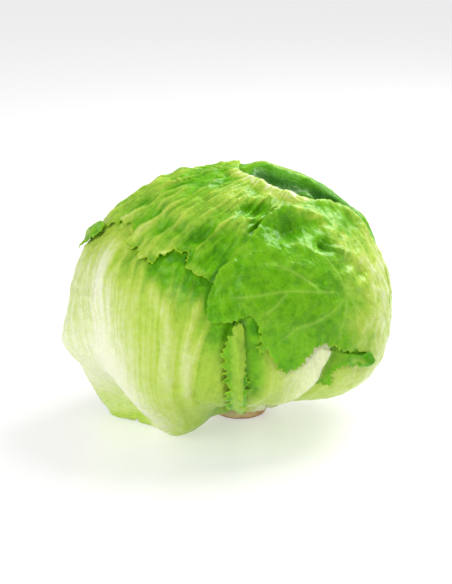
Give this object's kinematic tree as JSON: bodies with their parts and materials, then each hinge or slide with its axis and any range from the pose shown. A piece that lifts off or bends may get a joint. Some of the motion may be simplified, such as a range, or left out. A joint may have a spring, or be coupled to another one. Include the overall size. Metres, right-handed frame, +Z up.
{
  "type": "batavia lettuce head",
  "caption": "Whole crisp lettuce head of wrapped, frilled leaves around a heart and stem, cut at the butt and standing on the flat cut face.",
  "frame": {"origin": "centre of the butt's flat cut face", "axes": "+Z up out of the cut face, towards the crown; +X towards the picture's right, along the head's widest way; -Y towards the camera"},
  "size_m": [0.1851, 0.1611, 0.145],
  "materials": {
    "cut_stem": "moist pale stem flesh with a browned cut edge",
    "inner_leaf": "waxy pale yellow-green leaf",
    "green_leaf": "waxy bright green leaf with fine veins",
    "pale_leaf": "waxy pale leaf with white ribs fading to green"
  },
  "bodies": {
    "root": {"stem": "cut_stem", "heart": "inner_leaf", "inner_leaf_1": "inner_leaf", "inner_leaf_2": "inner_leaf", "inner_leaf_3": "inner_leaf", "inner_leaf_4": "inner_leaf", "inner_leaf_5": "inner_leaf", "second_front_leaf": "green_leaf", "second_left_leaf": "green_leaf", "second_back_leaf": "green_leaf", "second_right_leaf": "green_leaf", "crown_back_leaf": "green_leaf", "crown_leaf": "green_leaf", "back_wrapper": "pale_leaf", "back_left_wrapper": "pale_leaf", "back_right_wrapper": "pale_leaf", "left_wrapper": "pale_leaf", "front_wrapper": "pale_leaf", "right_wrapper": "green_leaf"}
  },
  "joints": []
}
